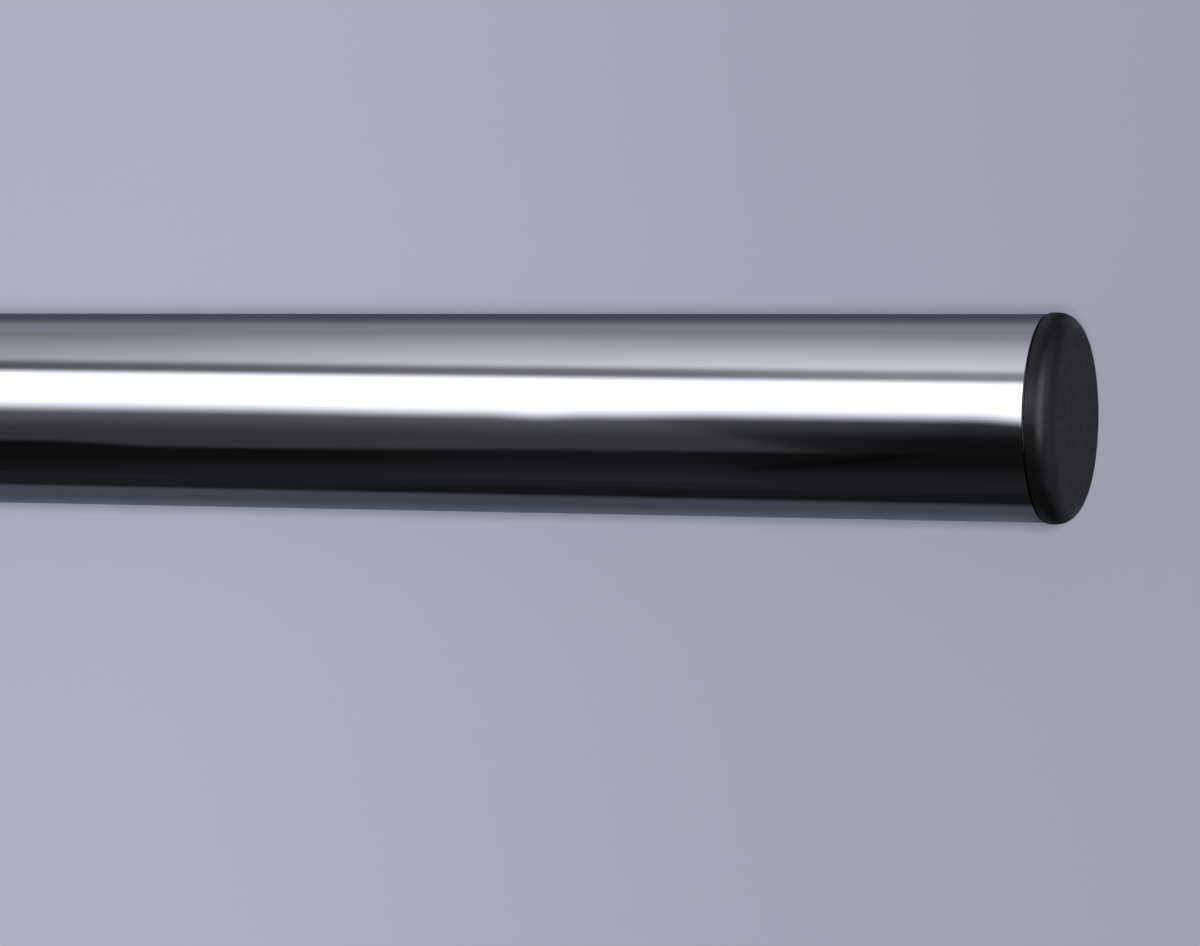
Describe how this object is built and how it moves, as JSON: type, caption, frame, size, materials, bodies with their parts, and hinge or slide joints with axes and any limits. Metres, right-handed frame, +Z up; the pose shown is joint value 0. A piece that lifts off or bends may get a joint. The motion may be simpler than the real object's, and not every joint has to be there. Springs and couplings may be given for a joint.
{
  "type": "closet rod",
  "caption": "Straight round chrome-plated steel tube for hanging clothes, closed at each end by a black push-in plastic cap with a rounded, slightly proud head.",
  "frame": {"origin": "on the floor below the middle of the rod's length, as it lies on the rims of its two caps", "axes": "+X along the rod towards the cap that the picture shows, +Z up, -Y towards the viewer"},
  "size_m": [0.6182, 0.0338, 0.0338],
  "materials": {
    "chrome_plate": "polished",
    "cap_plastic": "matte"
  },
  "bodies": {
    "root": {"rod_tube": "chrome_plate", "end_cap_right": "cap_plastic", "end_cap_left": "cap_plastic"}
  },
  "joints": []
}
